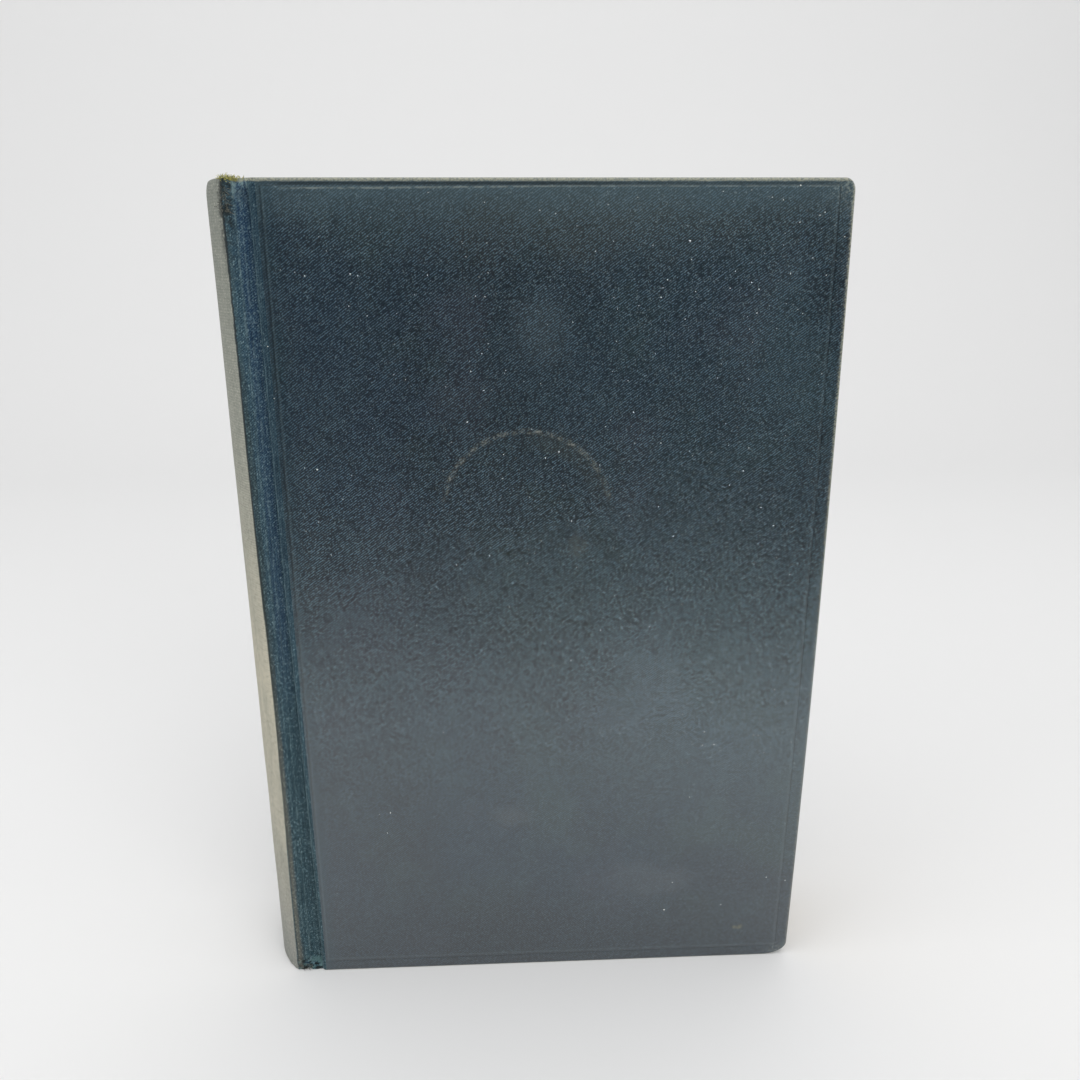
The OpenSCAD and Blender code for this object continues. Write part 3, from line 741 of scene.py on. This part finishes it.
def wear_case(p, front):
    """Bumps, slumps and crumples of an old case, on points of the rear half before it is moved to its place."""
    seed = 3.7 if front else 8.1
    q = p.copy()
    x, y, z = p.T
    spine = 1 - smooth((x + 0.6) / 4.0)
    ang = np.arctan2(y, BACK_CX - x)
    # the head of the spine slopes away at its crest
    t = np.clip((z - (CASE_H - 3.4)) / 3.4, 0, 1)
    q[:, 0] += 1.2 * (1 - np.sqrt(np.clip(1 - t * t, 0, 1))) * np.cos(ang) ** 4 * spine
    # crumpled cloth at the ends of the ridge and joint
    joint = np.exp(-((x - 0.3) / 3.0) ** 2) * (x < 4.7)
    for low in (True, False):
        d = z if low else CASE_H - z
        w = joint * np.exp(-(d / 3.6) ** 2)
        q[:, 1] += w * (wobble(p, 1.7, seed) * (0.6 if low else 0.45) + wobble(p, 0.9, seed + 1) * 0.3)
        q[:, 1] -= w * np.clip(1 - np.abs(wobble(p * [1, 1, 0.6], 2.2, seed + 7)) * 4.0, 0, 1) * (0.8 if low else 0.4)
        q[:, 0] += w * wobble(p, 2.1, seed + 5) * (0.5 if low else 0.4)
        q[:, 2] += w * (wobble(p, 2.4, seed + 9) * 0.5 - 0.25) * 0.8
    q[:, 2] = np.clip(q[:, 2], 0.0, CASE_H)
    # soft unevenness of the spine and the edge of the ridge
    q[:, 0] += spine * wobble(p * [1, 1, 0.35], 6.0, seed + 2) * 0.1
    q[:, 1] += np.exp(-((x + 1.3) / 1.2) ** 2) * (wobble(p * [0.2, 0.2, 0.5], 6.0, seed + 4) * 0.12 - 0.08)
    # faint dents in the cover
    cover = (x > 6) & (y > 15)
    q[:, 1] -= cover * np.clip(wobble(p * [1, 0, 1], 26.0, seed + 6), 0, 1) * 0.06
    q[:, 1] = np.where(x < 4.9, np.minimum(q[:, 1], FACE_Y - 0.02), q[:, 1])
    q[:, 0] = beside_flex(np.maximum(q[:, 0], BACK_CX - CLOTH_OUT), x)
    return q


def threads(sh, tufts, mat):
    """Loose fibres: each tuft is its centre, half-size, lean, number of fibres and their length, in millimetres."""
    rng = np.random.RandomState(5)
    for at, half, lean, count, length in tufts:
        for _ in range(count):
            path = [np.array(at) + rng.uniform(-1, 1, 3) * half]
            d = np.array(lean) + rng.uniform(-1, 1, 3) * 0.8
            for _ in range(5):
                d = d / (np.linalg.norm(d) + 1e-9) + rng.uniform(-1, 1, 3) * 0.5
                path.append(path[-1] + d * length / 5 * rng.uniform(0.5, 1.1))
            path = np.array(path)
            path[:, 2] = np.clip(path[:, 2], 0.05, CASE_H + 1.2)
            near, away = path[:, 0].min() + MID_X, path[:, 0].max() + MID_X
            if near < FLEX[1] + 0.1 and away > FLEX[0] - 0.1:
                path[:, 0] += FLEX[1] + 0.1 - near if near + away > 2 * FLEX[0] else FLEX[0] - 0.1 - away
            r = rng.uniform(0.025, 0.055)
            t = np.gradient(path, axis=0)
            t /= norm(t)[:, None] + 1e-9
            a = np.cross(t, [0.3, 0.5, 0.8])
            a /= norm(a)[:, None] + 1e-9
            b = np.cross(t, a)
            ang = np.linspace(0, 2 * np.pi, 5)
            ring = np.cos(ang)[None, :, None] * a[:, None] + np.sin(ang)[None, :, None] * b[:, None]
            tube = path[:, None] + r * ring
            sh.grid(tube, np.repeat(path[:, None, :2] * 3.0, 5, 1), mat)


def lint(sh, spots):
    """Specks of dust lying on the front cover: each is its place in local millimetres and its half-width."""
    rng = np.random.RandomState(9)
    for x, z, r in spots:
        ang = np.sort(rng.uniform(0, 2 * np.pi, 7))
        rad = 1.15 * r * rng.uniform(0.6, 1.4, 7)
        stretch = rng.uniform(0.6, 1.3)
        edge = np.stack([x + rad * np.cos(ang) * stretch, np.full(7, -FACE_Y - 0.01), z + rad * np.sin(ang)], 1)
        pts = np.concatenate([[[x, -FACE_Y - 0.05, z]], edge]) - [MID_X, 0, 0]
        sh.add(warp_front(pts), pts[:, [0, 2]], [(0, 1 + k, 1 + (k + 1) % 7) for k in range(7)], LINT_MAT)


# loose fibres at the ends of the joints, by material slot
TUFTS = {
    "front": {
        FIBRE_MAT: [((-61.1, -14.9, 196.7), (1.3, 0.4, 0.3), (0, -0.1, 0.5), 130, 1.0),
                    ((-58.9, -14.6, 196.7), (1.3, 0.3, 0.2), (0.2, -0.1, 0.3), 50, 0.8)],
        FRAY_MAT: [((-61.7, -15.35, 192.6), (0.7, 0.1, 2.8), (0, -0.05, -0.8), 60, 1.5),
                   ((-60.2, -14.9, 1.2), (1.8, 0.3, 0.6), (0, -0.2, -0.2), 40, 0.9)]},
    "rear": {
        FIBRE_MAT: [((-61.0, 14.9, 196.7), (1.3, 0.4, 0.3), (0, 0.1, 0.4), 40, 0.8),
                    ((-60.4, 14.8, 1.0), (1.6, 0.3, 0.5), (0, 0.2, -0.2), 16, 0.7)]}}
# the spine's colour at heights up it
SPINE_TONES = [
    (0, (136, 138, 134)), (45, (182, 178, 162)), (85, (190, 185, 166)), (145, (150, 152, 142)),
    (197, (130, 134, 127)),
]
# broad clouds on the front cover: centre and half-sizes in local millimetres, colour and strength
CLOUDS = [
    (75, 190, 42, 12, (84, 92, 84), 0.3), (63, 167, 8, 10, (86, 104, 112), 0.3),
    (19, 150, 26, 48, (14, 42, 68), 0.35), (99, 123, 26, 30, (30, 58, 56), 0.35),
    (67, 107, 24, 22, (34, 58, 50), 0.5), (16, 98, 16, 16, (60, 56, 72), 0.25), (50, 80, 32, 20, (58, 62, 74), 0.2),
    (88, 84, 14, 16, (98, 114, 126), 0.4), (56, 46, 6, 4, (104, 106, 104), 0.2),
    (115, 158, 14, 26, (74, 104, 112), 0.22), (91, 24, 11, 7, (98, 104, 108), 0.2),
    (12, 13, 24, 12, (10, 30, 42), 0.4), (24, 60, 22, 18, (4, 18, 26), 0.45),
]
# two old smudges on it, given like the clouds
SMUDGES = [(115.4, 9.6, 1.6, 1, (112, 112, 86), 0.5), (71.5, 117.5, 2.6, 3.4, (96, 104, 100), 0.35)]
# specks of dust on it: place in local millimetres and half-width
SPECKS = [
    (50.7, 153.4, 0.17), (48.0, 157.7, 0.15), (46.8, 146.6, 0.18), (40.1, 194.1, 0.12), (26.3, 169.5, 0.12),
    (11.9, 178.5, 0.17), (8.9, 178.9, 0.11), (13.8, 177.7, 0.12), (94.6, 184.5, 0.16), (109.9, 174.6, 0.2),
    (116.5, 177.8, 0.17), (104.6, 178.3, 0.13), (88.9, 173.0, 0.12), (84.1, 171.3, 0.12), (94.2, 168.4, 0.13),
    (121.9, 189.5, 0.15), (117.4, 195.4, 0.17), (113.9, 192.6, 0.13), (121.0, 180.9, 0.12), (109.8, 169.6, 0.12),
    (67.1, 139.7, 0.17), (64.1, 138.3, 0.15), (68.1, 131.9, 0.13), (83.6, 148.4, 0.14), (54.4, 133.7, 0.12),
    (83.2, 124.6, 0.12), (89.9, 141.4, 0.12), (13.3, 136.3, 0.18), (10.6, 136.7, 0.13), (5.3, 152.2, 0.14),
    (25.0, 47.8, 0.15), (24.0, 42.0, 0.13), (95.4, 15.8, 0.17), (110.4, 16.9, 0.11), (97.2, 24.4, 0.12),
    (127.0, 24.0, 0.13), (122.0, 25.2, 0.17),
]


# ---------------- pages and papers
def text_block():
    sh = Shape()
    q = np.linspace(-1, 1, 241)
    sec = np.abs(np.sin(np.pi * 7.5 * (q + 1)))
    ang = q * BACK_A
    r = BACK_R - 0.4 * (1 - sec)
    back = np.stack([BACK_CX - r * np.cos(ang), r * np.sin(ang)], 1)
    fa = math.asin(PAGES_Y / BACK_R)
    fb = q * fa
    rng = np.random.RandomState(11)
    step_x = np.repeat(rng.uniform(-0.16, 0.05, 15), 16)
    jig = np.concatenate([step_x, step_x[-1:]]) + rng.uniform(-0.06, 0.0, 241)
    fore = np.stack([PAGES_W + BACK_R * math.cos(fa) - BACK_R * np.cos(fb) + jig, q * PAGES_Y], 1)
    fore[[0, -1], 0] = PAGES_W
    xs = np.concatenate([np.linspace(0, 1, 12) ** 1.3 * 0.07, np.linspace(0.1, 1, 22)])
    mid_y = q * PAGES_Y

    def at(t):
        x = back[:, 0] + (fore[:, 0] - back[:, 0]) * t
        w = np.clip(1 - (x - back[:, 0]) / np.maximum(3.2 - back[:, 0], 0.5), 0, 1)
        y = mid_y + (back[:, 1] - mid_y) * w ** 2
        return np.stack([x, y], 1)

    cols = np.array([at(t) for t in xs])
    leaf = (q + 1) * 120
    ends = []
    for z, mat, flip in ((PAGES_TOP, HEAD_MAT, False), (SQUARE, TAIL_MAT, True)):
        g = np.concatenate([cols, np.full(cols.shape[:2] + (1,), z)], -1)
        uneven = np.repeat(rng.uniform(-0.1, 0.0, 15), 16)
        uneven = np.concatenate([uneven, uneven[-1:]]) + rng.uniform(-0.05, 0.0, 241)
        g[:, :, 2] += uneven[None, :] * (1 if z == PAGES_TOP else -1)
        sh.grid(g, pairs(leaf[None, :], cols[:, :, 0]), mat, flip=flip)
        ends.append((g[-1], g[0]))
    zs = np.linspace(0, 1, 26)
    for head, tail, mat, flip in zip(*ends, (FORE_MAT, PAGE_MAT), (True, False)):
        g = np.array([tail + (head - tail) * t for t in zs])
        sh.grid(g, pairs(leaf[None, :], g[:, :, 2]), mat, flip=flip)
    for i, flip in ((0, False), (-1, True)):
        g = np.array([[[a, b, z] for a, b in cols[:, i]] for z in (SQUARE, PAGES_TOP)])
        sh.grid(g, g[:, :, [0, 2]], PAGE_MAT, flip=flip)
    sh.v = [np.concatenate(sh.v) - [MID_X, 0, 0]]
    return sh


def free_leaf():
    """The free endpaper and its fold, on the rear side: a thin solid sheet."""
    sh = Shape()
    fold_x, fold_r, half = 2.5, 0.25, 0.1
    mid = LEAF_Y - half
    path = [(x, mid) for x in (PAGES_W, *np.linspace(PAGES_W - 1, 4, 60))]
    for a in np.radians(np.linspace(270, 100, 8)):
        path.append((fold_x + fold_r * math.cos(a), mid + fold_r + fold_r * math.sin(a)))
    path = np.array(path)
    s, t = along(path)
    nrm = np.stack([-t[:, 1], t[:, 0]], 1)
    zs = np.linspace(SQUARE, PAGES_TOP, 40)
    uv = pairs(PAGES_W - s[None, :], zs[:, None])
    sides = [upright(path + nrm * half * k, zs) for k in (1, -1)]
    for g, flip in zip(sides, (False, True)):
        sh.grid(g, uv, flip=flip)
    for row, flip in ((0, False), (-1, True)):
        sh.grid(np.array([g[row] for g in sides]), np.array([uv[row]] * 2), flip=flip)
    g = np.array([[[PAGES_W - MID_X, mid + k, z] for z in zs] for k in (-half, half)])
    sh.grid(g, g[:, :, [0, 2]] + MID_X)
    return sh


def pastedown():
    """The pasted endpaper and its strip across the joint, on the rear side; turn-ins and gauze show through."""
    sh = Shape()
    xs = np.concatenate([
        [FLEX[0] - 0.03, FLEX[1] + 0.03, 3.2, 4.0, 4.8, 5.6],
        np.linspace(7, 110, 70), np.linspace(111, 118, 15), np.linspace(119, PAGES_W - 0.5, 6)])
    zs = np.concatenate([
        np.linspace(SQUARE, 13, 8), np.linspace(13.6, 19, 14), np.linspace(20.5, 176.5, 90),
        np.linspace(178, 183.4, 14), np.linspace(184, CASE_H - SQUARE, 8)])
    gx, gz = np.meshgrid(xs, zs)
    # the paper sinks to the board inside the turn-ins, and less where the gauze lies on it
    inside = TURN_IN - 0.2
    window = smooth((gz - inside) / 1.2) * smooth((CASE_H - inside - gz) / 1.2)
    window = window * smooth((FORE_X - inside - gx) / 1.2) * smooth((gx - 4.4) / 1.2)
    flap = smooth(gz - 15.6) * smooth(CASE_H - 15.6 - gz) * smooth((28.9 - gx) / 1.2)
    fine = [noise.noise(Vector((a / 9, b / 9, 4.0))) for a, b in zip(gx.ravel(), gz.ravel())]
    y = PASTE_Y + window * (0.28 - 0.13 * flap) + window * np.reshape(fine, gx.shape) * 0.03
    g = np.stack([gx - MID_X, y, gz], -1)
    uv = np.stack([gx, gz], -1)
    sh.grid(g, uv, flip=True)
    rr, cc = outline(*gx.shape)
    a = g[rr, cc]
    b = a.copy()
    b[:, 1] = TURN_Y
    sh.grid(np.array([a, b]), np.array([uv[rr, cc]] * 2))
    return sh


def gauze_half():
    """The gauze from the middle of the back over one shoulder and under the pasted endpaper, on the rear side."""
    sh = Shape()
    path = [(BACK_CX - GAUZE_R * math.cos(a), GAUZE_R * math.sin(a)) for a in np.linspace(0, BACK_A, 20)]
    path += [(1.1, 13.75), (1.8, 13.3), (FLEX[0] - 0.03, 13.05), (3.2, 12.72), (28.6, 12.72)]
    path = np.array(path)
    s, t = along(path)
    zs = np.linspace(16, 181, 12)
    for d, flip in ((0.06, False), (-0.06, True)):
        line = path + np.stack([-t[:, 1], t[:, 0]], 1) * d
        sh.grid(upright(line, zs), pairs(s[None, :], zs[:, None]), flip=flip)
    return sh


def board(front):
    """A board, with the worn back edge that the cloth rolls over; the front one has crept with its cloth."""
    sh = Shape()
    worn = BOARD_X + np.array([0, 0.25, 0.5, 0.9, 1.4])
    xs = np.concatenate([worn, np.linspace(BOARD_X + 2, FORE_X - BOARD_EDGE, 55)])
    zs = np.linspace(BOARD_EDGE, CASE_H - BOARD_EDGE, 80)
    gx, gz = np.meshgrid(xs, zs)
    shift = creep(gz) * (1 - smooth((gx - BOARD_X) / 5.0)) if front else 0
    gx2, gz2 = round_corner(gx + shift, gz, BOARD_EDGE)
    top = BOARD_OUT - 0.65 * (1 - smooth((gx - BOARD_X) / 1.4))
    for y, flip in ((top, False), (np.full_like(gx, BOARD_IN), True)):
        sh.grid(np.stack([gx2 - MID_X, y, gz2], -1), np.stack([gx, gz], -1), flip=flip)
    rr, cc = outline(*gx.shape, closed=True)
    a = np.stack([gx2[rr, cc] - MID_X, top[rr, cc], gz2[rr, cc]], -1)
    b = a.copy()
    b[:, 1] = BOARD_IN
    sh.grid(np.array([a, b]), np.array([a[:, [0, 2]]] * 2))
    return sh


# ---------------- build
M_FACE = {side: material("worn_cloth_" + side, cloth_outside, side == "front", True) for side in ("front", "rear")}
M_BACK = {side: material("worn_back_" + side, cloth_outside, side == "front", False) for side in ("front", "rear")}
M_IN = material("cloth_turned_in", cloth_inside)
M_FIBRE = material("cloth_fibre", fibre, (112, 116, 84), (196, 190, 108))
M_FRAY = material("grey_fibre", fibre, (40, 46, 46), (120, 120, 110))
M_LINT = material("lint", fibre, (214, 220, 216), (240, 242, 236))
M_PASTE = material("endpaper", paper, 1.0)
M_FREE = material("endpaper_leaf", paper, 8.0)
M_PAGE = material("page", paper, 15.0)
M_FORE = material("leaf_edges_fore", leaf_edges, 0)
M_HEAD = material("leaf_edges_head", leaf_edges, 1)
M_TAIL = material("leaf_edges_tail", leaf_edges, 2)
M_GAUZE = material("gauze", gauze_make)
M_BAND = material("band", band_make)
M_BOARD = material("board_card", plain_fibres, (148, 132, 106), (122, 104, 78), 0.9, (1, 0.3, 1))
M_CARD = material("inlay_card", plain_fibres, (132, 112, 84), (104, 86, 62), 0.8, (1, 1, 0.4))
M_LINING = material("lining_paper", plain_fibres, (168, 148, 112), (140, 118, 84), 1.2, (1, 1, 0.3))


def blended(ob):
    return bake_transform(ob)


for side in ("front", "rear"):
    front = side == "front"
    cover = side + "_cover"
    sh = placed(half_case(front), front)
    for mat, tufts in TUFTS[side].items():
        threads(sh, tufts, mat)
    if front:
        rng = np.random.RandomState(21)
        spots = rng.uniform(0, 1, (240, 2))
        lint(sh, SPECKS + [(4 + 124 * a ** 0.8, 45 + 150 * b ** 0.6, rng.uniform(0.06, 0.12)) for a, b in spots])
    cloth = sh.build(side + "_half_of_cloth", [M_FACE[side], M_IN, M_FIBRE, M_FRAY, M_LINT, M_BACK[side]])
    blended(cloth)
    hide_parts(side + "_cover_cloth", *(["spine_cloth"] if front else []))

    ob = placed(pastedown(), front).build(side + "_pasted_endpaper", [M_PASTE])
    blended(ob)
    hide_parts(side + "_pastedown")

    ob = placed(free_leaf(), front, bowed=False).build(side + "_free_leaf", [M_FREE])
    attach(ob, "pages")
    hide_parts(side + "_free_endpaper")

    ob = placed(gauze_half(), front).build(side + "_half_of_gauze", [M_GAUZE])
    blended(ob)
    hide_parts(side + "_gauze_flap", *(["spine_gauze"] if front else []))

    ob = placed(board(front), front).build(side + "_board_in_case", [M_BOARD])
    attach(ob, cover)
    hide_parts(side + "_board")

ob = text_block().build("sewn_pages", [M_FORE, M_HEAD, M_TAIL, M_PAGE], auto=25)
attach(ob, "pages")
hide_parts("text_block")

for name, mat in (("spine_lining", M_LINING), ("head_band", M_BAND), ("tail_band", M_BAND), ("spine_inlay", M_CARD)):
    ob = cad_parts[name]
    ob.data.materials.clear()
    ob.data.materials.append(mat)

# ---------------- studio
scene = bpy.context.scene
scene.view_settings.view_transform = "Standard"

world = bpy.data.worlds.new("studio")
scene.world = world
world.use_nodes = True
nt = world.node_tree
nt.nodes.clear()
V.tree = nt
path = nt.nodes.new("ShaderNodeLightPath")
rays = [V(path.outputs[kind]) for kind in ("Is Camera Ray", "Is Glossy Ray", "Is Transmission Ray")]
seen = most(rays[0], most(rays[1], rays[2]))
bg = nt.nodes.new("ShaderNodeBackground")
bg.inputs["Color"].default_value = (1, 1, 1, 1)
put(bg.inputs["Strength"], 0.45 + seen * 0.35)
wo = nt.nodes.new("ShaderNodeOutputWorld")
nt.links.new(bg.outputs[0], wo.inputs[0])


def matt(name, grey, rough=0.5):
    m = bpy.data.materials.new(name)
    m.use_nodes = True
    b = m.node_tree.nodes["Principled BSDF"]
    b.inputs["Base Color"].default_value = (grey, grey, grey, 1)
    b.inputs["Roughness"].default_value = rough
    b.inputs["Specular IOR Level"].default_value = 0.0
    return m


def backdrop():
    """A floor that curves up into a wall behind the book, in metres."""
    near, far, bend, wall_top, half_width = -1.6, 0.55, 0.45, 2.2, 2.6
    prof = [(near, 0.0), (far, 0.0)]
    prof += [(far + bend * math.sin(a), bend - bend * math.cos(a)) for a in np.linspace(0.1, math.pi / 2, 14)]
    prof.append((far + bend, wall_top))
    verts = [(x, y, z) for x in (-half_width, half_width) for y, z in prof]
    n = len(prof)
    me = bpy.data.meshes.new("backdrop")
    me.from_pydata(verts, [], [(i, i + n, i + n + 1, i + 1) for i in range(n - 1)])
    me.polygons.foreach_set("use_smooth", [True] * (n - 1))
    ob = bpy.data.objects.new("backdrop", me)
    scene.collection.objects.link(ob)
    me.materials.append(matt("floor", 0.8, 0.9))


def dark_side():
    """The unlit side of the studio, past the front of the table: only reflections show it. In metres."""
    near, far, low, top, half_width = -0.21, -1.7, 0.002, 2.6, 3
    verts = [(x, y, z) for y, z in ((near, low), (far, low), (far, top)) for x in (-half_width, half_width)]
    me = bpy.data.meshes.new("dark_side")
    me.from_pydata(verts, [], [(0, 1, 3, 2), (2, 3, 5, 4)])
    ob = bpy.data.objects.new("dark_side", me)
    scene.collection.objects.link(ob)
    me.materials.append(matt("dark_side", 0.02))
    ob.visible_camera = ob.visible_diffuse = ob.visible_shadow = ob.visible_transmission = False


def lamp(name, at, to, size, power):
    """A soft light: where it hangs, where it aims, its size in metres and its power in watts."""
    data = bpy.data.lights.new(name, "AREA")
    data.shape = "RECTANGLE"
    data.size, data.size_y = size
    data.energy = power
    ob = bpy.data.objects.new(name, data)
    ob.location = at
    ob.rotation_mode = "QUATERNION"
    ob.rotation_quaternion = (Vector(to) - Vector(at)).to_track_quat("-Z", "Y")
    ob.visible_glossy = False
    ob.visible_camera = False
    scene.collection.objects.link(ob)


backdrop()
dark_side()
lamp("overhead", (0.1, -0.25, 1.5), (0, 0, 0.05), (1.6, 1.6), 12)
lamp("front", (0.5, -1.3, 0.9), (0, 0, 0.1), (1.4, 1.0), 9)
lamp("left", (-1.2, -0.5, 0.8), (0, 0, 0.1), (1.0, 1.0), 4)

# camera, at the photograph's viewpoint
cam = bpy.data.cameras.new("camera")
camera = bpy.data.objects.new("camera", cam)
scene.collection.objects.link(camera)
scene.camera = camera
YAW, PITCH, ROLL = math.radians(-2.64), math.radians(-17.45), math.radians(0.183)
FOCAL_PX, PHOTO_PX, SENSOR = 930, 1080, 36
cam.sensor_width = SENSOR
cam.lens = SENSOR * FOCAL_PX / PHOTO_PX
cam.clip_start, cam.clip_end = 0.01, 20
camera.location = (-0.007, -0.2195, 0.1832)
level = Matrix(((1, 0, 0), (0, 0, -1), (0, 1, 0)))
turn = Matrix.Rotation(YAW, 3, "Z") @ Matrix.Rotation(PITCH, 3, "X") @ level @ Matrix.Rotation(-ROLL, 3, "Z")
camera.rotation_mode = "QUATERNION"
camera.rotation_quaternion = turn.to_quaternion()
